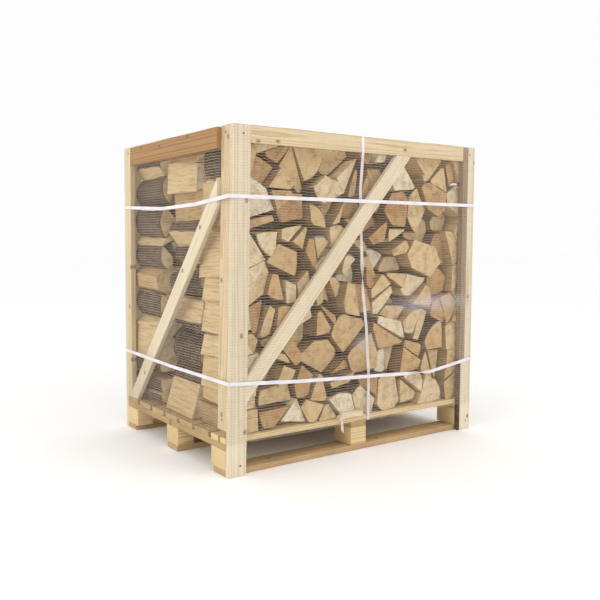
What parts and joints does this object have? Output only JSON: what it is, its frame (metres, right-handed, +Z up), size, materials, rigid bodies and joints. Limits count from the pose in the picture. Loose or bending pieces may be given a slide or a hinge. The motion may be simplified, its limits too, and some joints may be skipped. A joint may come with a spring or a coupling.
{
  "type": "firewood crate",
  "caption": "Open pallet crate of split firewood: logs stacked on a timber pallet between corner posts, rails and braces, held by net wrap and cord straps.",
  "frame": {"origin": "on the ground, in the middle of the footprint", "axes": "+X along the long front, to the right seen from the front; +Y from the front to the back; +Z up"},
  "size_m": [1.2044, 0.847, 1.1811],
  "materials": {
    "pallet_timber": "rough sawn, weathered",
    "sawn_pine": "rough sawn, pale",
    "orange_pine": "rough sawn, orange",
    "split_log": "split hardwood with bark",
    "strap": "bonded polyester cord strap",
    "net": "knitted pallet net"
  },
  "bodies": {
    "root": {"skid_front": "pallet_timber", "block_front_left": "pallet_timber", "block_front_middle": "pallet_timber", "block_front_right": "pallet_timber", "skid_middle": "pallet_timber", "block_middle_left": "pallet_timber", "block_middle_middle": "pallet_timber", "block_middle_right": "pallet_timber", "skid_back": "pallet_timber", "block_back_left": "pallet_timber", "block_back_middle": "pallet_timber", "block_back_right": "pallet_timber", "stringer_left": "pallet_timber", "stringer_middle": "pallet_timber", "stringer_right": "pallet_timber", "deck_board_1": "pallet_timber", "deck_board_2": "pallet_timber", "deck_board_3": "pallet_timber", "deck_board_4": "pallet_timber", "deck_board_5": "pallet_timber", "deck_board_6": "pallet_timber", "deck_board_7": "pallet_timber", "post_front_left_front_board": "sawn_pine", "post_front_left_side_board": "sawn_pine", "post_front_right_front_board": "sawn_pine", "post_front_right_side_board": "sawn_pine", "post_back_left_back_board": "sawn_pine", "post_back_left_side_board": "sawn_pine", "post_back_right_back_board": "sawn_pine", "post_back_right_side_board": "sawn_pine", "rail_front": "sawn_pine", "rail_back": "sawn_pine", "rail_left": "orange_pine", "rail_right": "orange_pine", "brace_front": "sawn_pine", "brace_back": "sawn_pine", "brace_left": "sawn_pine", "brace_right": "sawn_pine", "logs_front_row": "split_log", "logs_middle_row": "split_log", "logs_back_row": "split_log", "strap_upper": "strap", "strap_lower": "strap", "strap_upright": "strap", "net_wrap": "net"}
  },
  "joints": []
}
